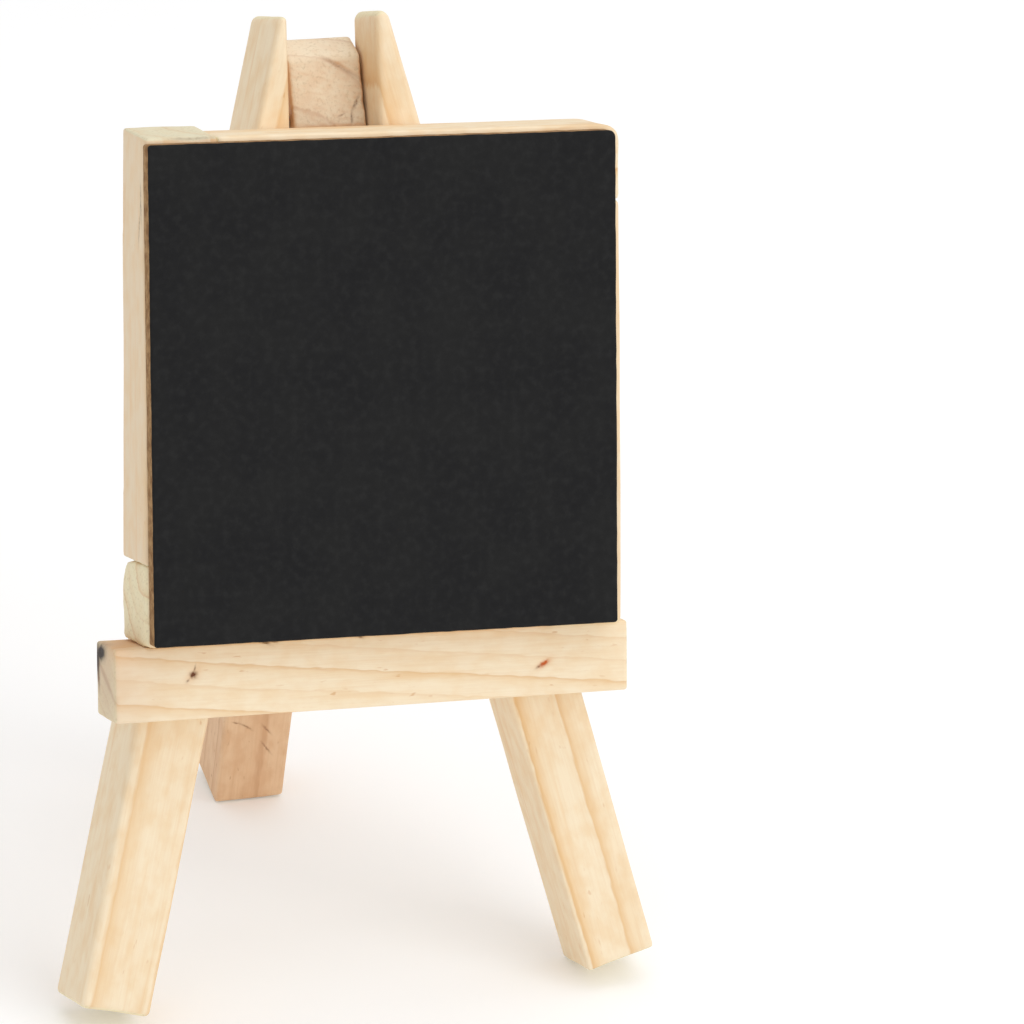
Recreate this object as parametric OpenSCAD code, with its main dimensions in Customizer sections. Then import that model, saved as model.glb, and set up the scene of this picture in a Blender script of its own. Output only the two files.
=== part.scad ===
// Miniature chalkboard on a folding three-legged easel.
// Units are millimetres. +Z is up, +X is to the right of someone who reads the board,
// and the board faces -Y. The easel stands on Z = 0, with the origin under its middle.
//
// The front legs, the ledge and the board all lie in one plane that leans back by "lean".
// Inside in_lean() the axes are X across, Y behind that plane and Z up its slope.

/* [Front legs] */
// Width of a leg bar across its front face
leg_w = 9.3; // [8:0.1:11]
// Depth of a leg bar from front to back
leg_d = 10.2; // [8:0.1:12]
// Radius of the worn long edges of the legs and the ledge
edge_r = 1.1; // [0.4:0.1:2]
// Lean of the front legs and the board, in degrees back from upright
lean = 17.7; // [10:0.1:25]
// Splay of each front leg, in degrees outward from the middle
splay = 14.3; // [12:0.1:16]
// Distance from the middle to the inner corner of each front foot
foot_half = 29.1; // [26:0.1:33]
// Length of the front legs, up the slope from the feet to the tops
leg_rise = 123.6; // [118:0.1:128]
// Half of the gap between the mitred tops of the front legs
gap_half = 5.8; // [5.5:0.1:6.5]

/* [Rear leg] */
// Width of the rear leg
rear_w = 9.4; // [8:0.1:9.6]
// Depth of the rear leg
rear_d = 10.2; // [8:0.1:11]
// Angle of the rear leg from upright, in degrees
rear_angle = 11.8; // [5:0.1:20]
// Length of the rear leg above the pivot
rear_above = 7.4; // [7:0.1:9]
// Size of the bevel sawn off the top front corner of the rear leg
rear_bevel = 5.8; // [3:0.1:6.5]
// Sideways shift of the rear leg from the middle of the gap
rear_shift = 0.75; // [0:0.05:0.75]
// Sideways skew of the rear leg, in degrees
rear_skew = 0.45; // [0:0.05:0.6]

/* [Pivot] */
// Height of the pivot up the slope
pivot_rise = 110.4; // [106:0.1:112]
// Depth of the pivot behind the front face of the legs
pivot_depth = 7.4; // [6:0.1:8]
// Distance from the pivot to the front face of the rear leg
pivot_cover = 2.8; // [2.2:0.1:4]
// Diameter of the pivot nail
nail_d = 1.8; // [1.2:0.1:2.2]
// Diameter of the nail's head
nail_head_d = 3.4; // [3:0.1:4]
// Radial running clearance of the nail in the rear leg
nail_clear = 0.06; // [0.02:0.01:0.1]

/* [Ledge] */
// Length of the ledge rail
ledge_len = 66.8; // [60:0.1:75]
// Height of the ledge rail
ledge_h = 9.1; // [7:0.1:11]
// Depth of the ledge rail
ledge_d = 8.6; // [7:0.1:11]
// Height of the underside of the ledge up the slope
ledge_rise = 38.2; // [30:0.1:45]
// Sideways shift of the middle of the ledge
ledge_shift = -0.7; // [-2:0.1:2]
// Slope of the ledge down to the right, in degrees
ledge_slope = 1.9; // [0:0.1:3]
// Radius of the ledge's left corners, seen from the front
ledge_left_r = 0.4; // [0.2:0.1:3]
// Radius of its right corners, which are sanded rounder
ledge_right_r = 0.9; // [0.2:0.1:3]
// Diameter of the brads that hold the ledge to the legs
brad_d = 1.2; // [0.8:0.1:1.6]
// Length of those brads
brad_len = 14.5; // [12:0.5:17]

/* [Board] */
// Width of the hardboard panel
board_w = 60.1; // [55:0.1:66]
// How far the frame reaches past the panel's right edge
frame_past = 1.4; // [0:0.1:3]
// Height of the wooden frame behind the panel
frame_h = 62.7; // [58:0.1:68]
// Width of a frame stick
stick_w = 9.5; // [7:0.1:12]
// Width of the bottom frame stick
bottom_w = 10.2; // [7:0.1:12]
// Depth of a frame stick
stick_d = 9.9; // [8:0.1:12]
// Radius of the worn edges of the frame sticks
stick_r = 0.9; // [0.3:0.1:1.5]
// Thickness of the hardboard panel
panel_t = 2.55; // [1.5:0.05:3.5]
// Height of the hardboard panel
panel_h = 61.6; // [57:0.1:67]
// Height of the panel's lower edge above the frame's lower edge
panel_lift = 0.7; // [0:0.05:1.2]
// Radius of three of the panel's corners
panel_r = 0.4; // [0.3:0.1:2]
// Radius of the panel's top right corner
panel_r_worn = 0.9; // [0.3:0.1:4]

/* [Hidden] */
$fn = 48;
rest_gap = 0.05;                       // daylight between the loose board and the easel
frame_w = board_w + frame_past;
over = 1;                              // how far a cutting tool runs past the wood
nail_grip = 0.02;                      // radial room of the nail in the front legs
stand_lift = leg_d * sin(lean);        // the back edges of the front feet touch the floor
pin_y = pivot_rise * sin(lean) + pivot_depth * cos(lean);
pin_z = stand_lift + pivot_rise * cos(lean) - pivot_depth * sin(lean);
// Length of the rear leg below the pivot: its front lower edge stands on the floor
rear_below = (pin_z - pivot_cover * sin(rear_angle)) / cos(rear_angle);
rear_foot_y = pin_y + rear_below * sin(rear_angle) + (rear_d - pivot_cover) * cos(rear_angle);
origin_y = rear_foot_y / 2;            // middle of the easel's footprint, from front to back
nail_tip_x = -9.4;                     // the nail ends blind inside the left leg
nail_seat_x = 9.3;                     // its head is sunk into the right leg
nail_head_t = 0.7;
nail_head_clear = 0.15;                // radius added to the sinking for the head
brad_sink = 0.5;                       // how far the brads' heads lie below the ledge's face
brad_at = [[-24.1, 5.4], [21.6, 4.3]]; // one brad over each front leg: X along the ledge, Z up it
pine = [0.93, 0.84, 0.69];
pine_rear = [0.86, 0.70, 0.56];
black = [0.15, 0.15, 0.15];
steel = [0.55, 0.53, 0.5];

// ---- places ----

// The plane of the front legs: X across, Y behind it, Z up the slope
module in_lean() {
    translate([0, -origin_y, stand_lift]) rotate([-lean, 0, 0]) children();
}

// The ledge's own frame, on the same plane: Z starts at its underside
module on_ledge() {
    in_lean() translate([0, 0, ledge_rise]) rotate([0, ledge_slope, 0]) children();
}

// The board's own frame: Z starts on top of the ledge, and the board lies in front of Y = 0
module on_board() {
    on_ledge() translate([0, -rest_gap, ledge_h + rest_gap]) children();
}

// The pivot's own frame: its axis is X
module at_pivot() {
    translate([0, pin_y - origin_y, pin_z]) children();
}

// ---- shapes ----

// A rectangle from the origin with round corners, one radius each, anticlockwise from the origin
module worn_rect(w, h, r) {
    difference() {
        square([w, h]);
        worn_corner([0, 0], r[0], 0);
        worn_corner([w, 0], r[1], 90);
        worn_corner([w, h], r[2], 180);
        worn_corner([0, h], r[3], 270);
    }
}

// What one round corner takes away from a square one
module worn_corner(at, r, turn) {
    translate(at) rotate(turn) difference() {
        translate([-over, -over]) square([r + over, r + over]);
        translate([r, r]) circle(r);
    }
}

// A bar along Z, from its lower left front corner
module bar(w, d, len, r) {
    linear_extrude(height = len) worn_rect(w, d, [r, r, r, r]);
}

// A cylinder along X from x0 to x1
module rod_x(x0, x1, r) {
    translate([x0, 0, 0]) rotate([0, 90, 0]) cylinder(r = r, h = x1 - x0);
}

// ---- front legs ----

// The right front leg's wood: its inner foot corner stands at foot_half
module front_leg_wood() {
    reach = leg_rise / cos(splay) + leg_w;
    intersection() {
        translate([foot_half, 0, 0]) rotate([0, -splay, 0]) bar(leg_w, leg_d, reach, edge_r);
        translate([gap_half, -over, -over]) cube([foot_half + leg_w, leg_d + 2 * over, leg_rise + over]);
    }
}

module left_leg() {
    color(pine) difference() {
        in_lean() mirror([1, 0, 0]) front_leg_wood();
        at_pivot() rod_x(nail_tip_x - 0.3, 0, nail_d / 2 + nail_grip);
        brad_holes();
    }
}

module right_leg() {
    color(pine) difference() {
        in_lean() front_leg_wood();
        at_pivot() rod_x(0, nail_seat_x + 5, nail_d / 2 + nail_grip);
        at_pivot() rod_x(nail_seat_x, nail_seat_x + 5, nail_head_d / 2 + nail_head_clear);
        brad_holes();
    }
}

// ---- rear leg and its pivot ----

module rear_leg() {
    color(pine_rear) difference() {
        intersection() {
            at_pivot() rotate([rear_angle, 0, 0]) rotate([0, -rear_skew, 0])
                translate([rear_shift - rear_w / 2, -pivot_cover, -rear_below]) rear_bar();
            translate([-50, -50, 0]) cube([100, 150, 200]);
        }
        at_pivot() rod_x(-2 * rear_w, 2 * rear_w, nail_d / 2 + nail_clear);
    }
}

// The rear leg lying along Z, with its top front corner sawn off
module rear_bar() {
    len = rear_below + rear_above;
    difference() {
        bar(rear_w, rear_d, len, edge_r * 0.7);
        translate([-over, 0, len - rear_bevel]) rotate([45, 0, 0])
            translate([0, -2 * rear_bevel, 0]) cube([rear_w + 2 * over, 4 * rear_bevel, 3 * rear_bevel]);
    }
}

module pivot_nail() {
    color(steel) at_pivot() union() {
        rod_x(nail_tip_x, nail_seat_x + 0.1, nail_d / 2);
        rod_x(nail_seat_x, nail_seat_x + nail_head_t, nail_head_d / 2);
    }
}

// ---- ledge ----

module ledge_rail() {
    left = ledge_left_r;
    right = ledge_right_r;
    color(pine) difference() {
        on_ledge() translate([ledge_shift - ledge_len / 2, -ledge_d, 0]) intersection() {
            rotate([90, 0, 90]) bar(ledge_d, ledge_h, ledge_len, edge_r * 0.7);
            translate([0, ledge_d + over, 0]) rotate([90, 0, 0])
                linear_extrude(height = ledge_d + 2 * over)
                    worn_rect(ledge_len, ledge_h, [left, right, right, left]);
        }
        brad_holes();
    }
}

// Both brads, or the holes they fill, from the sunk heads backwards
module brad_shafts(front, r) {
    on_ledge() for (at = brad_at) {
        translate([at[0], -ledge_d + brad_sink, at[1]]) rotate([-90, 0, 0])
            translate([0, 0, -front]) cylinder(r = r, h = brad_len + front);
    }
}

module brad_holes() {
    brad_shafts(brad_sink + over, brad_d / 2);
}

module rail_brads() {
    color(steel) brad_shafts(0, brad_d / 2);
}

// ---- board ----

module panel() {
    color(black) on_board() translate([-board_w / 2, -stick_d, panel_lift]) rotate([90, 0, 0])
        linear_extrude(height = panel_t)
            worn_rect(board_w, panel_h, [panel_r, panel_r, panel_r_worn, panel_r]);
}

// A frame stick that stands upright, from its lower left corner
module upright_stick(x, z, len) {
    color(pine) on_board() translate([x, -stick_d, z]) bar(stick_w, stick_d, len, stick_r);
}

// A frame stick that lies across, from its lower left corner
module lying_stick(x, z, len, w) {
    color(pine) on_board() translate([x, -stick_d, z]) rotate([90, 0, 90]) bar(stick_d, w, len, stick_r);
}

// The four sticks chase each other round the frame: each one butts against the next
module frame_left() {
    upright_stick(-board_w / 2, bottom_w, frame_h - bottom_w);
}

module frame_bottom() {
    lying_stick(-board_w / 2, 0, frame_w - stick_w, bottom_w);
}

module frame_right() {
    upright_stick(frame_w - board_w / 2 - stick_w, 0, frame_h - stick_w);
}

module frame_top() {
    lying_stick(stick_w - board_w / 2, frame_h - stick_w, frame_w - stick_w, stick_w);
}

left_leg();
right_leg();
rear_leg();
pivot_nail();
ledge_rail();
rail_brads();
panel();
frame_left();
frame_right();
frame_top();
frame_bottom();
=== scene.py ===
"""Looks of a miniature chalkboard that stands on a folding pine easel.

Each stick of wood is carved as a convex block with rounded, slightly uneven edges. Its own axes
have Z along the grain, so one pine shader with growth rings round a pith line fits them all.
Lengths are millimetres until the meshes and matrices are scaled to metres.
"""
import math

import bmesh
import bpy
import numpy as np
from mathutils import Matrix, Vector


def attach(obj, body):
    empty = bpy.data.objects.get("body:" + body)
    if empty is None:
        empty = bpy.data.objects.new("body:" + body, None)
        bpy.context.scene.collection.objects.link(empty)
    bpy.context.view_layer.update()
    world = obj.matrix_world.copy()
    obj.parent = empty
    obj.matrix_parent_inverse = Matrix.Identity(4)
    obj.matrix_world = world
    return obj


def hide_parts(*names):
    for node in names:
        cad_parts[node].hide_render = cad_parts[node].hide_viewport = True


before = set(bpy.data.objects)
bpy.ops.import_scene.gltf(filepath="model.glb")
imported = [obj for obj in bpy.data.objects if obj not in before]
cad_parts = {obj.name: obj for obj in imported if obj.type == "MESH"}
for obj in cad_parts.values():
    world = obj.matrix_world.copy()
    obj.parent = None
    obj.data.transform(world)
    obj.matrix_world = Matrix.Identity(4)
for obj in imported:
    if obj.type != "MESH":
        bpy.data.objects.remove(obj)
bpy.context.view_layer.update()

MM = 0.001
rng = np.random.default_rng(11)

# ---- driving dimensions, as in the part's source ----

LEG_W, LEG_D = 9.3, 10.2
LEAN, SPLAY = math.radians(17.7), math.radians(14.3)
FOOT_HALF, LEG_RISE, GAP_HALF = 29.1, 123.6, 5.8
REAR_W, REAR_D, REAR_ANGLE = 9.4, 10.2, math.radians(11.8)
REAR_ABOVE, REAR_BEVEL, REAR_SHIFT, REAR_SKEW = 7.4, 5.8, 0.75, math.radians(0.45)
PIVOT_RISE, PIVOT_DEPTH, PIVOT_COVER = 110.4, 7.4, 2.8
NAIL_R, NAIL_HEAD_R, NAIL_HEAD_T, NAIL_TIP_X, NAIL_SEAT_X = 0.9, 1.7, 0.7, -9.4, 9.3
LEDGE_LEN, LEDGE_H, LEDGE_D, LEDGE_RISE = 66.8, 9.1, 8.6, 38.2
LEDGE_SHIFT, LEDGE_SLOPE = -0.7, math.radians(1.9)
BRADS = ((-24.1, 5.4), (21.6, 4.3))
BRAD_R, BRAD_SINK, BRAD_LEN = 0.6, 0.5, 14.5
BOARD_W, FRAME_H, STICK_W, BOTTOM_W, STICK_D = 60.1, 62.7, 9.5, 10.2, 9.9
FRAME_PAST = 1.4
FRAME_W = BOARD_W + FRAME_PAST
# Not in the CAD: how round the frame's upper right corner is worn
FRAME_WORN = 1.8
PANEL_T, PANEL_H, PANEL_LIFT = 2.55, 61.6, 0.7
PANEL_R, PANEL_R_WORN = 0.4, 0.9
# The panel's lower edge hangs, and its upper edge stops, this much lower than in the CAD
PANEL_SAG, PANEL_DROP = 0.25, 0.2
REST_GAP = 0.05

STAND_LIFT = LEG_D * math.sin(LEAN)
PIN_Y = PIVOT_RISE * math.sin(LEAN) + PIVOT_DEPTH * math.cos(LEAN)
PIN_Z = STAND_LIFT + PIVOT_RISE * math.cos(LEAN) - PIVOT_DEPTH * math.sin(LEAN)
REAR_BELOW = (PIN_Z - PIVOT_COVER * math.sin(REAR_ANGLE)) / math.cos(REAR_ANGLE)
REAR_FOOT_Y = (PIN_Y + REAR_BELOW * math.sin(REAR_ANGLE)
               + (REAR_D - PIVOT_COVER) * math.cos(REAR_ANGLE))
ORIGIN_Y = REAR_FOOT_Y / 2


def turn(angle, axis):
    return Matrix.Rotation(angle, 4, axis)


def shift(x, y, z):
    return Matrix.Translation((x, y, z))


# ---- places: matrices from a stick's own axes to the frame ----

IN_LEAN = shift(0, -ORIGIN_Y, STAND_LIFT) @ turn(-LEAN, "X")
ON_LEDGE = IN_LEAN @ shift(0, 0, LEDGE_RISE) @ turn(LEDGE_SLOPE, "Y")
ON_BOARD = ON_LEDGE @ shift(0, -REST_GAP, LEDGE_H + REST_GAP)
AT_PIVOT = shift(0, PIN_Y - ORIGIN_Y, PIN_Z)
# A lying stick's X runs back, its Y up and its Z, the grain, to the right
LYING = Matrix(((0, 0, 1, 0), (1, 0, 0, 0), (0, 1, 0, 0), (0, 0, 0, 1)))

RIGHT_LEG = IN_LEAN @ shift(FOOT_HALF, 0, 0) @ turn(-SPLAY, "Y")
LEFT_LEG = IN_LEAN @ shift(-FOOT_HALF, 0, 0) @ turn(SPLAY, "Y")
REAR_LEG = (AT_PIVOT @ turn(REAR_ANGLE, "X") @ turn(-REAR_SKEW, "Y")
            @ shift(REAR_SHIFT - REAR_W / 2, -PIVOT_COVER, -REAR_BELOW))
LEDGE = ON_LEDGE @ shift(LEDGE_SHIFT - LEDGE_LEN / 2, -LEDGE_D, 0) @ LYING
PANEL = ON_BOARD @ shift(-BOARD_W / 2, -STICK_D, PANEL_LIFT)
FRAME_LEFT = ON_BOARD @ shift(-BOARD_W / 2, -STICK_D, BOTTOM_W)
FRAME_RIGHT = ON_BOARD @ shift(FRAME_W - BOARD_W / 2 - STICK_W, -STICK_D, 0)
FRAME_TOP = ON_BOARD @ shift(STICK_W - BOARD_W / 2, -STICK_D, FRAME_H - STICK_W) @ LYING
FRAME_BOTTOM = ON_BOARD @ shift(-BOARD_W / 2, -STICK_D, 0) @ LYING


# ---- noise and carving ----

GRID = 32
LATTICE = rng.uniform(-1, 1, (GRID, GRID, GRID))


def noise(points, size, seed):
    """Smooth random numbers from -1 to 1 at points; size is the width of its lumps."""
    q = points / size + 7.3 * seed
    base = np.floor(q).astype(int)
    t = q - base
    t = t * t * (3 - 2 * t)
    total = np.zeros(len(points))
    for corner in np.ndindex(2, 2, 2):
        at = (base + corner) % GRID
        weight = np.prod(np.where(corner, t, 1 - t), axis=1)
        total += weight * LATTICE[at[:, 0], at[:, 1], at[:, 2]]
    return total


def dent(points, centre, along, length, width, depth):
    """How deep a long soft pit lies at points: it runs along a direction."""
    d = points - np.array(centre)
    axis = np.array(Vector(along).normalized())
    t = d @ axis
    across = np.maximum((d * d).sum(1) - t * t, 0)
    return depth * np.exp(-(t / length) ** 2 - across / width ** 2)


class Block:
    """A convex block: planes face outwards, each a normal and its distance from the origin."""

    def __init__(self, w, d, length):
        self.size = Vector((w, d, length))
        self.planes = []
        for axis in range(3):
            normal = Vector((0, 0, 0))
            normal[axis] = 1
            self.planes.append((normal, self.size[axis]))
            self.planes.append((-normal, 0.0))

    def face(self, axis, side, tilt=(0, 0, 0), out=0.0):
        """Tilts one of the six faces a little, and moves it out, about its middle."""
        index = 2 * axis + (0 if side > 0 else 1)
        normal = (self.planes[index][0] + Vector(tilt)).normalized()
        middle = self.size / 2
        middle[axis] = self.size[axis] if side > 0 else 0
        self.planes[index] = (normal, normal.dot(middle) + out)
        return self

    def cut(self, normal, point, place=None, own=None):
        """Adds a plane, given in the axes of place, to the block that stands at own."""
        normal, point = Vector(normal), Vector(point)
        if place is not None:
            into = own.inverted() @ place
            normal, point = into.to_3x3() @ normal, into @ point
        normal.normalize()
        self.planes.append((normal, normal.dot(point)))
        return self

    def mesh(self, name, voxel):
        """A dense even mesh of the block, which carve() then moves onto its surface."""
        pad = 1.5
        bm = bmesh.new()
        bmesh.ops.create_cube(bm, size=1)
        for v in bm.verts:
            v.co = Vector([(v.co[k] + 0.5) * (self.size[k] + 2 * pad) - pad for k in range(3)])
        for normal, distance in self.planes:
            cut = bmesh.ops.bisect_plane(bm, geom=bm.verts[:] + bm.edges[:] + bm.faces[:],
                                         plane_co=normal * distance, plane_no=normal,
                                         clear_outer=True)
            edges = [e for e in cut["geom_cut"] if isinstance(e, bmesh.types.BMEdge)]
            if edges:
                bmesh.ops.contextual_create(bm, geom=edges)
        mesh = bpy.data.meshes.new(name)
        bm.to_mesh(mesh)
        bm.free()
        piece = bpy.data.objects.new(name, mesh)
        bpy.context.scene.collection.objects.link(piece)
        remesh = piece.modifiers.new("voxels", "REMESH")
        remesh.mode = "VOXEL"
        remesh.voxel_size = voxel
        graph = bpy.context.evaluated_depsgraph_get()
        piece.data = bpy.data.meshes.new_from_object(piece.evaluated_get(graph))
        piece.modifiers.clear()
        bpy.data.meshes.remove(mesh)
        piece.data.name = name
        return piece


def points_of(mesh):
    co = np.empty(len(mesh.vertices) * 3)
    mesh.vertices.foreach_get("co", co)
    return co.reshape(-1, 3)


def rounded(distances, radius):
    """Distance from a block with round edges, from the distances to its faces."""
    inner = distances + radius
    outside = np.sqrt((np.maximum(inner, 0) ** 2).sum(0))
    return outside + np.minimum(inner.max(0), 0) - radius


def carve(piece, surface, steps=5):
    """Moves every point of the piece along the surface's slope until it lies on it."""
    p = points_of(piece.data)
    h = 0.02
    for _ in range(steps):
        value = surface(p)
        slope = np.stack([surface(p + h * axis) - value for axis in np.eye(3)], axis=1) / h
        p -= np.clip(value, -1, 1)[:, None] * slope / np.maximum((slope ** 2).sum(1), 0.2)[:, None]
    piece.data.vertices.foreach_set("co", (p * MM).ravel())
    piece.data.shade_smooth()
    piece.data.update()


def wooden(name, node, body, place, block, material, radius=0.9, voxel=0.45, seed=0,
           wave=0.05, rough_ends=0.0, dents=(), extra=None):
    """One stick of wood, carved from a block and put in its place."""
    piece = block.mesh(name, voxel)
    normals = np.array([tuple(n) for n, _ in block.planes])
    offsets = np.array([o for _, o in block.planes])

    def surface(p):
        distances = normals @ p.T - offsets[:, None]
        wear = noise(p * (1, 1, 0.35), 3.5, seed + 1)
        base = radius(p) if callable(radius) else radius
        edges = np.maximum(base * (1 + 0.35 * wear), 0.08)
        value = rounded(distances, edges)
        value = value + wave * noise(p * (1, 1, 0.3), 4.0, seed + 2)
        if rough_ends:
            near_end = np.exp(-np.minimum(np.abs(p[:, 2]), np.abs(p[:, 2] - block.size.z)) / 0.5)
            value = value + rough_ends * near_end * noise(p, 0.9, seed + 3)
        for pit in dents:
            value = value + dent(p, *pit)
        if extra:
            value = value + extra(p)
        return value

    carve(piece, surface)
    return settle(piece, node, body, place, material)


def settle(piece, node, body, place, material):
    """Puts a finished piece in its place and tells the frame what it is."""
    metres = place.copy()
    metres.translation = place.translation * MM
    piece.matrix_world = metres
    piece.data.materials.clear()
    piece.data.materials.append(material)
    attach(piece, body)
    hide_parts(node)
    return piece


def loft(name, rings):
    """A closed piece through rings of points, which are all of one length."""
    bm = bmesh.new()
    loops = [[bm.verts.new(Vector(point) * MM) for point in ring] for ring in rings]
    for low, high in zip(loops, loops[1:]):
        for k in range(len(low)):
            bm.faces.new((low[k - 1], low[k], high[k], high[k - 1]))
    bm.faces.new(loops[0])
    bm.faces.new(loops[-1])
    bmesh.ops.recalc_face_normals(bm, faces=bm.faces[:])
    mesh = bpy.data.meshes.new(name)
    bm.to_mesh(mesh)
    bm.free()
    mesh.shade_smooth()
    piece = bpy.data.objects.new(name, mesh)
    bpy.context.scene.collection.objects.link(piece)
    return piece


# ---- materials ----

class Shader:
    """One node material: each method adds a node and gives back its output."""

    def __init__(self, name, roughness=0.6):
        self.material = bpy.data.materials.new(name)
        self.material.use_nodes = True
        self.tree = self.material.node_tree
        self.out = self.tree.nodes["Principled BSDF"]
        self.out.inputs["Roughness"].default_value = roughness
        coordinates = self.tree.nodes.new("ShaderNodeTexCoord")
        self.normal = coordinates.outputs["Normal"]
        self.place = self.vector("SCALE", coordinates.outputs["Object"], scale=1 / MM)

    def feed(self, socket, value):
        if isinstance(value, bpy.types.NodeSocket):
            self.tree.links.new(value, socket)
        elif value is not None:
            socket.default_value = value

    def math(self, operation, a, b=None, c=None, clamp=False):
        node = self.tree.nodes.new("ShaderNodeMath")
        node.operation = operation
        node.use_clamp = clamp
        for socket, value in zip(node.inputs, (a, b, c)):
            self.feed(socket, value)
        return node.outputs[0]

    def vector(self, operation, a, b=None, scale=None):
        node = self.tree.nodes.new("ShaderNodeVectorMath")
        node.operation = operation
        self.feed(node.inputs[0], a)
        self.feed(node.inputs[1], b)
        if scale is not None:
            self.feed(node.inputs["Scale"], scale)
        return node.outputs["Value" if operation in ("DOT_PRODUCT", "LENGTH") else "Vector"]

    def split(self, vector):
        node = self.tree.nodes.new("ShaderNodeSeparateXYZ")
        self.feed(node.inputs[0], vector)
        return node.outputs[0], node.outputs[1], node.outputs[2]

    def noise(self, size, detail=2.0, stretch=1.0, at=(0, 0, 0)):
        """Noise from 0 to 1 with lumps of a size in mm, stretched along the grain."""
        moved = self.vector("ADD", self.place, at)
        scaled = self.vector("MULTIPLY", moved, (1 / size, 1 / size, 1 / (size * stretch)))
        node = self.tree.nodes.new("ShaderNodeTexNoise")
        node.inputs["Scale"].default_value = 1.0
        node.inputs["Detail"].default_value = detail
        self.feed(node.inputs["Vector"], scaled)
        return node.outputs[0]

    def smooth(self, value, low, high, out_low=0.0, out_high=1.0):
        node = self.tree.nodes.new("ShaderNodeMapRange")
        node.interpolation_type = "SMOOTHSTEP"
        for socket, number in zip(node.inputs, (value, low, high, out_low, out_high)):
            self.feed(socket, number)
        return node.outputs[0]

    def ramp(self, value, stops):
        node = self.tree.nodes.new("ShaderNodeValToRGB")
        while len(node.color_ramp.elements) < len(stops):
            node.color_ramp.elements.new(0.5)
        for element, (at, grey) in zip(node.color_ramp.elements, stops):
            element.position = at
            element.color = (grey, grey, grey, 1)
        self.feed(node.inputs[0], value)
        return node.outputs[0]

    def mix(self, factor, a, b, blend="MIX"):
        node = self.tree.nodes.new("ShaderNodeMix")
        node.data_type = "RGBA"
        node.blend_type = blend
        node.clamp_factor = True
        colours = [s for s in node.inputs if s.type == "RGBA"]
        self.feed(node.inputs[0], factor)
        self.feed(colours[0], (*a, 1) if isinstance(a, tuple) else a)
        self.feed(colours[1], (*b, 1) if isinstance(b, tuple) else b)
        return [s for s in node.outputs if s.type == "RGBA"][0]

    def mark(self, centre, along, length, width, ragged=0.3):
        """A long soft blot from 0 to 1 round a centre, with a ragged outline."""
        fray = self.vector("SUBTRACT", self.noise_colour(0.5), (0.5, 0.5, 0.5))
        d = self.vector("SUBTRACT", self.place, centre)
        d = self.vector("ADD", d, self.vector("SCALE", fray, scale=ragged))
        t = self.vector("DOT_PRODUCT", d, tuple(Vector(along).normalized()))
        whole = self.vector("DOT_PRODUCT", d, d)
        across = self.math("SUBTRACT", whole, self.math("MULTIPLY", t, t))
        t = self.math("DIVIDE", t, length)
        total = self.math("ADD", self.math("MULTIPLY", t, t),
                          self.math("DIVIDE", across, width ** 2))
        return self.math("EXPONENT", self.math("MULTIPLY", total, -1.0))

    def noise_colour(self, size):
        node = self.tree.nodes.new("ShaderNodeTexNoise")
        node.inputs["Scale"].default_value = 1 / size
        self.feed(node.inputs["Vector"], self.place)
        return node.outputs["Color"]

    def bump(self, height, distance):
        node = self.tree.nodes.new("ShaderNodeBump")
        node.inputs["Distance"].default_value = distance * MM
        self.feed(node.inputs["Height"], height)
        self.tree.links.new(node.outputs[0], self.out.inputs["Normal"])


def rgb(red, green, blue):
    """A colour as it is seen, 0 to 255, as the linear light that shaders mix."""
    return tuple((v / 255 / 12.92) if v < 11 else ((v / 255 + 0.055) / 1.055) ** 2.4
                 for v in (red, green, blue))


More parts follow.
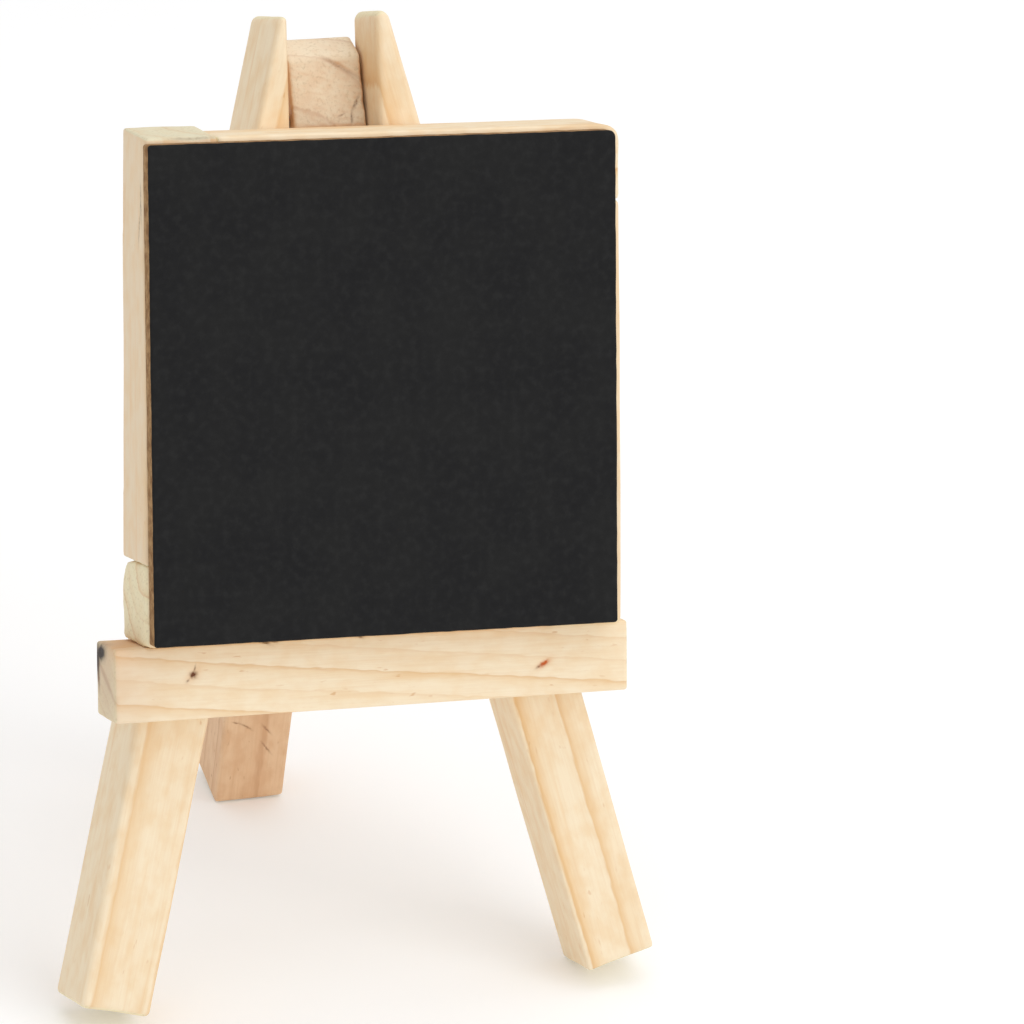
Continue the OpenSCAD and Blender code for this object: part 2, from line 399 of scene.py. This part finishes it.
def pine(name, pith, spacing, phase=0.0, pale=rgb(247, 229, 198), band=rgb(233, 192, 136),
         line=rgb(212, 160, 104), strength=1.0, lines=0.5, warp=1.2, seed=0,
         end=rgb(240, 228, 192), flecks=0.5, mottle=0.35, fade=0.5, slant=(0, 0), marks=()):
    """Pine with growth rings, spacing mm apart, round a pith line.

    The line passes z = 0 at the pith's (x, y) and moves by the slant for each mm along Z.
    Each ring darkens from pale to band over the share fade of its width, by strength, and ends
    in a thin line, by lines. Marks are blots: a tint, its share, then what mark() takes.
    """
    s = Shader(name, 0.62)
    x, y, z = s.split(s.place)
    offset = (17.3 * seed, 5.1 * seed, 31.7 * seed)
    slow = s.math("SUBTRACT", s.noise(9.0, detail=1.0, stretch=5.0, at=offset), 0.5)
    wobble = s.math("SUBTRACT", s.noise(2.6, detail=2.0, stretch=7.0, at=offset), 0.5)
    dx = s.math("SUBTRACT", s.math("MULTIPLY_ADD", z, -slant[0], x), pith[0])
    dy = s.math("SUBTRACT", s.math("MULTIPLY_ADD", z, -slant[1], y), pith[1])
    radius = s.math("SQRT", s.math("ADD", s.math("MULTIPLY", dx, dx), s.math("MULTIPLY", dy, dy)))
    radius = s.math("MULTIPLY_ADD", slow, 4.0 * warp, radius)
    radius = s.math("MULTIPLY_ADD", wobble, 0.9 * warp, radius)
    frayed = s.math("SUBTRACT", s.noise(0.45, detail=1.0, stretch=5.0, at=offset), 0.5)
    radius = s.math("MULTIPLY_ADD", frayed, 0.45, radius)
    turns = s.math("ADD", s.math("DIVIDE", radius, spacing), phase)
    ring = s.math("FRACT", turns)
    number = s.math("FLOOR", turns)
    white = s.tree.nodes.new("ShaderNodeTexWhiteNoise")
    white.noise_dimensions = "1D"
    s.feed(white.inputs["W"], s.math("ADD", number, float(seed)))
    weight = s.smooth(white.outputs["Value"], 0.0, 1.0, 0.35, 1.0)
    late = s.ramp(ring, ((0.93 - fade, 0.0), (0.93 - fade / 2, 0.4), (0.93, 1.0), (0.975, 0.0)))
    edge = s.ramp(ring, ((0.94 - fade / 4, 0.0), (0.94, 1.0), (0.985, 0.0)))
    late = s.math("MULTIPLY", s.math("MULTIPLY", late, weight), strength)
    edge = s.math("MULTIPLY", s.math("MULTIPLY", edge, weight), lines)
    colour = s.mix(late, pale, band)
    colour = s.mix(edge, colour, line)
    # long soft streaks and fine fibres along the grain, and clouds of deeper colour
    streaks = s.noise(1.3, detail=3.0, stretch=22.0, at=offset)
    colour = s.mix(s.smooth(streaks, 0.5, 0.85, 0.0, 0.55), colour, band)
    fibres = s.noise(0.22, detail=2.0, stretch=26.0, at=offset)
    colour = s.mix(s.smooth(fibres, 0.35, 0.75, 0.0, 0.09), colour, line)
    cloud = s.noise(1.8, detail=3.0, stretch=1.6, at=offset)
    colour = s.mix(s.smooth(cloud, 0.35, 0.75, 0.0, mottle), colour, band)
    # short brown resin flecks
    dashes = s.noise(0.5, detail=1.0, stretch=3.2, at=(offset[2], offset[0], offset[1]))
    patches = s.noise(6.0, detail=1.0, stretch=2.0, at=(offset[1], offset[2], offset[0]))
    there = s.math("MULTIPLY", s.smooth(dashes, 0.68, 0.8), s.smooth(patches, 0.45, 0.7))
    colour = s.mix(s.math("MULTIPLY", there, flecks), colour, line)
    # end grain is greener and a little darker, with the rings still in it
    facing = s.split(s.normal)[2]
    on_end = s.smooth(s.math("ABSOLUTE", facing), 0.4, 0.68)
    specks = s.smooth(s.noise(0.4, detail=3.0), 0.5, 0.75, 0.0, 0.3)
    grain = s.mix(s.math("MULTIPLY", late, 0.3), end, line)
    grain = s.mix(s.math("MULTIPLY", edge, 0.6), grain, line)
    grain = s.mix(s.smooth(cloud, 0.35, 0.75, 0.0, mottle * 0.4), grain, band)
    grain = s.mix(specks, grain, rgb(176, 148, 104))
    colour = s.mix(on_end, colour, grain)
    for tint, share, *where in marks:
        colour = s.mix(s.math("MULTIPLY", s.mark(*where), share, clamp=True), colour, tint)
    s.feed(s.out.inputs["Base Color"], colour)
    s.feed(s.out.inputs["Roughness"], s.smooth(streaks, 0.2, 0.8, 0.72, 0.55))
    s.out.inputs["Specular IOR Level"].default_value = 0.35
    height = s.math("MULTIPLY_ADD", fibres, 0.6, s.math("MULTIPLY", late, 0.35))
    s.bump(height, 0.05)
    return s.material


def rear_pine():
    """The rear leg's pinker, rougher pine."""
    return pine("pine_rear", REAR_PITH, 4.5, 0.84, pale=rgb(236, 200, 162),
                band=rgb(218, 172, 130), line=rgb(176, 118, 78), end=rgb(236, 219, 192),
                strength=0.6, lines=0.4, warp=0.3, seed=5, flecks=1.0, mottle=0.6, fade=0.3,
                marks=REAR_MARKS)


def chalkboard():
    """Hardboard, brown and mottled at its edges, with a matte charcoal coat in front."""
    s = Shader("chalkboard", 0.9)
    depth = s.split(s.place)[1]
    fibre = s.noise(0.35, detail=3.0)
    blotches = s.noise(1.2)
    board = s.mix(s.smooth(blotches, 0.3, 0.7), rgb(176, 140, 98), rgb(138, 102, 66))
    board = s.mix(s.smooth(fibre, 0.5, 0.75, 0.0, 0.6), board, rgb(110, 76, 46))
    cloud = s.noise(7.0, detail=4.0)
    smear = s.noise(1.1, detail=4.0)
    coat = s.mix(s.smooth(cloud, 0.3, 0.7), rgb(29, 29, 30), rgb(33, 33, 33))
    coat = s.mix(s.smooth(smear, 0.45, 0.75, 0.0, 0.6), coat, rgb(38, 38, 38))
    # the coat stops just round the front edge
    brink = s.math("MULTIPLY_ADD", s.noise(0.8), 0.3, 0.12)
    coated = s.smooth(s.math("SUBTRACT", brink, depth), -0.05, 0.05)
    s.feed(s.out.inputs["Base Color"], s.mix(coated, board, coat))
    s.feed(s.out.inputs["Roughness"], s.smooth(smear, 0.2, 0.8, 0.95, 0.78))
    s.out.inputs["Specular IOR Level"].default_value = 0.16
    s.bump(s.math("MULTIPLY_ADD", smear, 0.7, fibre), 0.06)
    return s.material


def rusty_steel():
    """Bare steel wire with patches of rust."""
    s = Shader("rusty_steel", 0.5)
    rust = s.smooth(s.noise(0.5, detail=4.0), 0.42, 0.62)
    s.feed(s.out.inputs["Base Color"], s.mix(rust, rgb(120, 112, 104), rgb(150, 72, 34)))
    s.feed(s.out.inputs["Metallic"], s.math("SUBTRACT", 0.9, s.math("MULTIPLY", rust, 0.8)))
    s.feed(s.out.inputs["Roughness"], s.smooth(rust, 0.0, 1.0, 0.35, 0.9))
    s.bump(s.noise(0.2, detail=3.0), 0.03)
    return s.material


# ---- front legs ----

# The legs stand this much taller than in the CAD, and their tops slope down to the back
TOP_OUT, LEFT_TOP_TILT, RIGHT_TOP_TILT = 0.5, 0.054, 0.07
LEFT_MITRE_TILT = 0.02

INTO_PIVOT = AT_PIVOT.inverted() @ RIGHT_LEG
PIT_R, PIT_DEPTH = 2.0, 1.3


def nail_pit(p):
    """How deep the sinking for the nail's head lies in the right leg's outer side."""
    q = p @ np.array(INTO_PIVOT.to_3x3()).T + np.array(INTO_PIVOT.translation)
    depth = PIT_DEPTH - q[:, 2] * math.sin(SPLAY)
    pit = depth * np.exp(-(np.hypot(q[:, 1], q[:, 2]) / PIT_R) ** 8)
    return np.where(q[:, 0] > GAP_HALF, pit, 0)


def top_worn(p):
    """Radius of the right leg's edges, which are worn rounder towards its top."""
    return 0.45 + 0.75 * np.clip((p[:, 2] - 95) / 30, 0, 1)


def front_leg(side, place, name, material, radius, seed, extra=None):
    """One front leg, side -1 on the left and 1 on the right: it is mitred where the gap runs."""
    reach = LEG_RISE / math.cos(SPLAY) + LEG_W
    if side < 0:
        place = place @ shift(-LEG_W, 0, 0)
    block = Block(LEG_W, LEG_D, reach)
    top_tilt = LEFT_TOP_TILT if side < 0 else RIGHT_TOP_TILT
    block.cut((0, top_tilt, 1), (0, 0, LEG_RISE + TOP_OUT), IN_LEAN, place)
    mitre_tilt = LEFT_MITRE_TILT if side < 0 else 0
    block.cut((-side, 0, -mitre_tilt), (side * GAP_HALF, 0, LEG_RISE - 9), IN_LEAN, place)
    if side < 0:
        block.face(0, -1, (0, -0.06, 0.002))
    else:
        block.face(0, 1, (0, 0, -0.0045), 0.2)
    return wooden(name, name.replace("_wood", ""), "easel", place, block, material,
                  radius=radius, voxel=0.36, seed=seed, extra=extra)


front_leg(-1, LEFT_LEG, "left_leg_wood",
          pine("pine_left_leg", (38.6, 3.0), 7.5, 0.94, warp=0.25, lines=0.12,
           strength=0.6, fade=0.35, seed=1, slant=(0.015, 0)),
          0.75, 1)
front_leg(1, RIGHT_LEG, "right_leg_wood",
          pine("pine_right_leg", (45.0, 3.0), 5.3, 0.54, warp=0.25, lines=0.3, fade=0.35, seed=2),
          top_worn, 2, nail_pit)

# ---- rear leg ----

# Where the growth rings on the sawn bevel centre
REAR_PITH = (-1.5, -11.8)
SCRATCH, SPLIT = rgb(150, 98, 64), rgb(112, 66, 38)
rear_len = REAR_BELOW + REAR_ABOVE
# The bevel is sawn a little steeper than in the CAD, and its lower edge lies this far down
BEVEL_DROP = 7.0


def on_bevel(x, y):
    return (x, y, rear_len - BEVEL_DROP * (1 - y / REAR_BEVEL))


# Dents and splits in the wood: each a centre, a direction, a length, a width and a depth
REAR_CREASES = [((2.0, 6.4, rear_len + 0.7), (1, -0.15, -0.15), 1.8, 0.22, 0.16),
                (on_bevel(6.6, 4.9), (1, -0.45, -0.5), 2.8, 0.28, 0.14)]
REAR_SPLITS = [(on_bevel(8.3, 1.9), (-0.5, -0.6, -0.7), 0.9, 0.17, 0.35),
               (on_bevel(7.6, 0.7), (-0.1, -0.6, -0.7), 0.8, 0.14, 0.35),
               (on_bevel(9.6, 1.9), (0.2, -0.7, -0.7), 0.7, 0.4, 0.25),
               (on_bevel(9.6, 3.9), (0, -0.7, -0.7), 0.9, 0.35, 0.2),
               (on_bevel(6.2, 1.0), (1, 0.3, 0.3), 0.5, 0.13, 0.12)]
REAR_SCRATCHES = [((3.1, 0, 12.7), (1, 0, -0.75), 0.9, 0.13, 0.12),
                  ((6.2, 0, 8.8), (1, 0, -1.4), 1.1, 0.12, 0.12),
                  ((6.0, 0, 11.9), (1, 0, -1.25), 0.9, 0.13, 0.12),
                  ((1.6, 0, 13.5), (1, 0, -0.4), 0.5, 0.12, 0.1)]
REAR_DENTS = REAR_CREASES + REAR_SPLITS + REAR_SCRATCHES
REAR_MARKS = ([(SCRATCH, 0.6, *d[:4]) for d in REAR_CREASES]
              + [(SPLIT, 0.8, *d[:4]) for d in REAR_SPLITS[:2]]
              + [(SCRATCH, 0.8, *d[:4]) for d in REAR_SPLITS[2:] + REAR_SCRATCHES])


# How far apart the saw's ridges lie, and how far from the bevel they fade
SAW_PITCH, SAW_REACH = 0.8, 0.5


def saw_marks(p):
    """Fine slanting ridges that the saw left on the bevel."""
    rise = REAR_BEVEL * (p[:, 2] - rear_len + BEVEL_DROP) - BEVEL_DROP * p[:, 1]
    height = rise / math.hypot(REAR_BEVEL, BEVEL_DROP)
    across = p[:, 0] * 0.5 + p[:, 2] * 1.2
    ridges = np.sin(across * 2 * math.pi / SAW_PITCH + 3.0 * noise(p, 1.6, 31))
    return (0.012 * ridges + 0.03 * noise(p, 0.5, 32)) * np.exp(-(height / SAW_REACH) ** 2)


rear = Block(REAR_W, REAR_D, rear_len)
rear.cut((0, -BEVEL_DROP, REAR_BEVEL), (0, 0, rear_len - BEVEL_DROP))
rear.cut((0, 0, -1), (0, 0, 0), Matrix.Identity(4), REAR_LEG)
rear.face(0, 1, out=0.05)
wooden("rear_leg_wood", "rear_leg", "back_leg", REAR_LEG, rear, rear_pine(),
       radius=0.5, voxel=0.3, seed=3, wave=0.06, dents=REAR_DENTS, extra=saw_marks)

# ---- ledge ----

# Along the rail's own Z, where each brad goes in
BRAD_ALONG = [x - LEDGE_SHIFT + LEDGE_LEN / 2 for x, _ in BRADS]
LEFT_BRAD = (0, BRADS[0][1], BRAD_ALONG[0])
RIGHT_BRAD = (0, BRADS[1][1], BRAD_ALONG[1])
# Splits that run out of the left brad, downwards and upwards
SPLIT_LOW = (0, BRADS[0][1] - 0.7, BRAD_ALONG[0] - 0.7)
SPLIT_HIGH = (0, BRADS[0][1] + 0.8, BRAD_ALONG[0] + 0.2)
# Torn spots along the rail's front upper edge
TEAR_ONE, TEAR_TWO, TEAR_THREE = [(0.3, LEDGE_H, along) for along in (19.0, 20.3, 31.6)]
LEDGE_DENTS = [
    (LEFT_BRAD, (0, 0.5, 0.6), 0.4, 0.34, 0.4),
    (SPLIT_LOW, (0, 0.7, 0.6), 0.25, 0.14, 0.15),
    (SPLIT_HIGH, (0, 1, 0.2), 0.4, 0.12, 0.12),
    (RIGHT_BRAD, (0, 0.5, 0.85), 0.7, 0.3, 0.25),
    (TEAR_ONE, (0, -0.5, 1), 1.3, 0.22, 0.35),
    (TEAR_TWO, (0, -0.4, 1), 0.9, 0.2, 0.25),
    (TEAR_THREE, (0, -0.6, 0.7), 0.6, 0.25, 0.3),
]
SOOT, RUST, TEAR, RESIN = rgb(50, 38, 32), rgb(196, 92, 34), rgb(104, 56, 26), rgb(226, 172, 112)
LEDGE_MARKS = [
    # the dark left brad and the rusty right one
    (RESIN, 0.5, LEFT_BRAD, (0, 0.5, 0.6), 1.3, 0.7),
    (TEAR, 1.6, LEFT_BRAD, (0, 0.5, 0.6), 0.38, 0.34, 0.45),
    (TEAR, 0.7, SPLIT_LOW, (0, 0.7, 0.6), 0.25, 0.14),
    (TEAR, 0.7, SPLIT_HIGH, (0, 1, 0.2), 0.4, 0.12),
    (RESIN, 0.4, RIGHT_BRAD, (0, 0.5, 0.85), 1.4, 0.5),
    (RUST, 1.7, RIGHT_BRAD, (0, 0.5, 0.85), 0.62, 0.26, 0.4),
    (TEAR, 1.0, (0, BRADS[1][1] - 0.3, BRAD_ALONG[1] - 0.6), (0, 0.5, 0.85), 0.5, 0.14),
    # the torn upper edge
    (TEAR, 0.8, TEAR_ONE, (0, -0.5, 1), 1.3, 0.22),
    (TEAR, 0.7, TEAR_TWO, (0, -0.4, 1), 0.9, 0.2),
    (TEAR, 0.6, TEAR_THREE, (0, -0.6, 0.7), 0.6, 0.25),
    # resin on top of the left end, then a dark ring, a pink heart and soot on that end
    (RESIN, 0.8, (5.0, LEDGE_H, 2.5), (1, 0, 0.4), 7.0, 2.2),
    (rgb(176, 146, 116), 0.6, (4.6, 5.0, 0), (-0.9, -0.5, 0), 5.0, 0.45),
    (rgb(196, 160, 136), 0.5, (4.3, 4.5, 0), (0, 1, 0), 7.0, 6.0),
    (SOOT, 1.5, (6.4, 7.8, 0), (1, -0.2, 0), 1.9, 0.9, 0.8),
    (SOOT, 1.3, (8.0, 6.6, 0), (0.1, 1, 0), 1.9, 0.8, 0.8),
    (TEAR, 0.7, (7.6, 4.6, 0), (0.1, 1, 0), 1.6, 0.4, 0.6),
]

rail = Block(LEDGE_D, LEDGE_H, LEDGE_LEN)
rail.face(1, 1, (0, 0, -0.003)).face(1, -1, (0, 0, 0.008))
wooden("ledge_rail_wood", "ledge_rail", "easel", LEDGE, rail,
       pine("pine_ledge", (19.0, -21.5), 2.3, 0.65, warp=0.3, strength=0.5, lines=0.35, seed=4,
            flecks=0.7, mottle=0.28, fade=0.5, slant=(0, -0.1), marks=LEDGE_MARKS),
       radius=0.4, voxel=0.3, seed=6, dents=LEDGE_DENTS)

# ---- board ----

left_len = FRAME_H - BOTTOM_W
LEFT_TEAR = (6.2, 0.2, left_len)
GLUE = rgb(120, 98, 74)
# a torn upper edge, a brown front edge, and smears of glue beside the panel
LEFT_MARKS = [(TEAR, 0.6, LEFT_TEAR, (1, 0, 0), 2.4, 0.35),
              (rgb(196, 158, 112), 0.7, (0, 0.2, 42), (0, 0, 1), 9.0, 0.7),
              (GLUE, 0.9, (0, 1.9, 44.5), (0, 0.08, 1), 2.4, 0.3, 0.5),
              (GLUE, 0.8, (0, 2.6, 41.6), (0, -0.15, 1), 1.8, 0.24, 0.5)]
left_stick = Block(STICK_W, STICK_D, left_len)
left_stick.face(0, -1, (0, -0.02, 0.014), 0.1)
# the saw cut its top end slanting up to the back
left_stick.face(2, 1, (0, -0.07, 0), 0.35)
wooden("frame_left_wood", "frame_left", "board", FRAME_LEFT, left_stick,
       pine("pine_frame_left", (30.0, 12.0), 5.0, 0.0, pale=rgb(238, 218, 188),
            end=rgb(230, 222, 192), seed=7, marks=LEFT_MARKS),
       radius=0.45, seed=8, dents=[(LEFT_TEAR, (1, 0, 0), 1.2, 0.4, 0.25)])
right_stick = Block(STICK_W, STICK_D, FRAME_H - STICK_W)
wooden("frame_right_wood", "frame_right", "board", FRAME_RIGHT, right_stick,
       pine("pine_frame_right", (-20.0, 14.0), 4.0, 0.5, seed=9), radius=0.6, seed=10)
across_len = FRAME_W - STICK_W
top_stick = Block(STICK_D, STICK_W, across_len)
# its right end's upper corner is worn round
for step in (1, 2, 3):
    up, along = math.cos(step * math.pi / 8), math.sin(step * math.pi / 8)
    top_stick.cut((0, up, along), (0, STICK_W - FRAME_WORN * (1 - up),
                                   across_len - FRAME_WORN * (1 - along)))
wooden("frame_top_wood", "frame_top", "board", FRAME_TOP, top_stick,
       pine("pine_frame_top", (8.0, -22.0), 4.4, 0.7, seed=11), radius=0.6, seed=12)
bottom_stick = Block(STICK_D, BOTTOM_W, across_len)
bottom_stick.face(2, -1, (-0.04, 0, 0), 0.45)
wooden("frame_bottom_wood", "frame_bottom", "board", FRAME_BOTTOM, bottom_stick,
       pine("pine_frame_bottom", (-9.0, 20.0), 3.6, 0.4, seed=13), radius=0.6, seed=14,
       rough_ends=0.2, dents=[((STICK_D, BOTTOM_W, 0), (1, 0, 0), 2.2, 1.6, 0.9)])


CORNER_STEPS = 8
RUN_STEP, RUN_UNEVEN = 1.2, 0.03


def panel_outline():
    """Points round the panel, each in x and z, with its outward direction."""
    top = PANEL_H - PANEL_DROP
    corners = ((BOARD_W, top, PANEL_R_WORN), (0, top, PANEL_R),
               (0, -PANEL_SAG, PANEL_R), (BOARD_W, -PANEL_SAG, PANEL_R))
    points = []
    for quarter, (x, z, r) in enumerate(corners):
        centre = Vector((r if x == 0 else x - r, z + r if z < 0 else z - r))
        for step in range(CORNER_STEPS + 1):
            angle = (quarter + step / CORNER_STEPS) * math.pi / 2
            out = Vector((math.cos(angle), math.sin(angle)))
            points.append((centre + r * out, out))
    outline = []
    # the straight runs get a point every millimetre or so, a little out of line
    for (start, out), (end, _) in zip(points, points[1:] + points[:1]):
        steps = max(1, round((end - start).length / RUN_STEP))
        for k in range(steps):
            uneven = rng.uniform(-RUN_UNEVEN, RUN_UNEVEN) if k > 0 else 0
            outline.append((start.lerp(end, k / steps) + out * uneven, out))
    return outline


def panel_piece():
    """The hardboard panel: a thin slab with soft edges, its top right corner a little rounder."""
    # each ring's inset and depth, from the front face to the back face
    profile = ((0.3, 0), (0.22, 0), (0.07, 0.06), (0, 0.2), (0, PANEL_T - 0.2),
               (0.07, PANEL_T - 0.06), (0.22, PANEL_T), (0.3, PANEL_T))
    outline = panel_outline()
    rings = []
    for inset, y in profile:
        inner = [at - out * inset for at, out in outline]
        rings.append([(at.x, y, at.y) for at in inner])
    return settle(loft("panel_board", rings), "panel", "board",
                  PANEL @ shift(0, -PANEL_T, 0), chalkboard())


panel_piece()


# ---- metal ----

def lathe(name, profile, turns=24):
    """A round piece about Z from (radius, height) points."""
    angles = np.linspace(0, 2 * math.pi, turns, endpoint=False)
    return loft(name, [[(r * math.cos(a), r * math.sin(a), h) for a in angles]
                       for r, h in profile])


steel = rusty_steel()
nail_len = NAIL_SEAT_X - NAIL_TIP_X
nail = lathe("pivot_nail_wire", [(0.15, 0), (NAIL_R, 1.6), (NAIL_R, nail_len - 0.3),
                                 (NAIL_HEAD_R - 0.1, nail_len), (NAIL_HEAD_R, nail_len + 0.1),
                                 (NAIL_HEAD_R, nail_len + NAIL_HEAD_T - 0.15),
                                 (NAIL_HEAD_R - 0.15, nail_len + NAIL_HEAD_T)])
settle(nail, "pivot_nail", "easel",
       AT_PIVOT @ shift(NAIL_TIP_X, 0, 0) @ turn(math.pi / 2, "Y"), steel)
for number, (x, z) in enumerate(BRADS):
    brad = lathe(f"rail_brad_{number}", [(0.15, BRAD_LEN), (BRAD_R, BRAD_LEN - 1.2),
                                         (BRAD_R, 0.1), (BRAD_R - 0.1, 0)])
    settle(brad, "rail_brads", "easel",
           ON_LEDGE @ shift(x, -LEDGE_D + BRAD_SINK, z) @ turn(-math.pi / 2, "X"), steel)

# ---- floor, camera and light ----

FLOOR_R = 4.0
FLOOR_DROP = 0.02 * MM
FLOOR_GLOW = 0.1


def floor_piece():
    """A wide disc of white paper just below the feet, which glows a little to stay white."""
    bm = bmesh.new()
    bmesh.ops.create_circle(bm, cap_ends=True, segments=96, radius=FLOOR_R)
    mesh = bpy.data.meshes.new("floor")
    bm.to_mesh(mesh)
    bm.free()
    floor = bpy.data.objects.new("floor", mesh)
    bpy.context.scene.collection.objects.link(floor)
    floor.location.z = -FLOOR_DROP
    paper = Shader("paper", 0.9)
    paper.feed(paper.out.inputs["Base Color"],
               paper.mix(paper.noise(40.0), rgb(248, 248, 248), rgb(250, 250, 250)))
    paper.out.inputs["Emission Color"].default_value = (1, 1, 1, 1)
    paper.out.inputs["Emission Strength"].default_value = FLOOR_GLOW
    floor.data.materials.append(paper.material)


floor_piece()

AZIMUTH, ELEVATION, ROLL = math.radians(-20.018), math.radians(25.0), math.radians(3.837)
DISTANCE = 863.4
TARGET = Vector((14.428, -34.944, 69.226))
LENS, SENSOR = 246.77, 36

scene = bpy.context.scene
back = Vector((math.sin(AZIMUTH) * math.cos(ELEVATION),
               -math.cos(AZIMUTH) * math.cos(ELEVATION), math.sin(ELEVATION)))
right = Vector((0, 0, 1)).cross(back).normalized()
up = back.cross(right)
cosine, sine = math.cos(ROLL), math.sin(ROLL)
camera = bpy.data.objects.new("camera", bpy.data.cameras.new("camera"))
scene.collection.objects.link(camera)
camera.data.sensor_width = SENSOR
camera.data.lens = LENS
view = Matrix((right * cosine + up * sine, up * cosine - right * sine, back))
pose = view.transposed().to_4x4()
pose.translation = (TARGET + back * DISTANCE) * MM
camera.matrix_world = pose
scene.camera = camera

scene.world = bpy.data.worlds.new("studio")
scene.world.use_nodes = True
sky = scene.world.node_tree.nodes["Background"]
sky.inputs["Color"].default_value = (1, 1, 1, 1)
sky.inputs["Strength"].default_value = 0.64


def area_light(name, position, size, power, aim=(0, 0, 0.06)):
    """A square lamp that faces the middle of the easel; places are in metres."""
    light = bpy.data.lights.new(name, "AREA")
    light.energy = power
    light.size = size
    lamp = bpy.data.objects.new(name, light)
    scene.collection.objects.link(lamp)
    lamp.location = position
    lamp.rotation_euler = (Vector(position) - Vector(aim)).to_track_quat("Z", "Y").to_euler()


area_light("key", (0.5, -0.85, 0.7), size=0.9, power=3.8)
area_light("top", (0.1, 0.0, 1.2), size=1.2, power=4.8)
scene.view_settings.view_transform = "Standard"
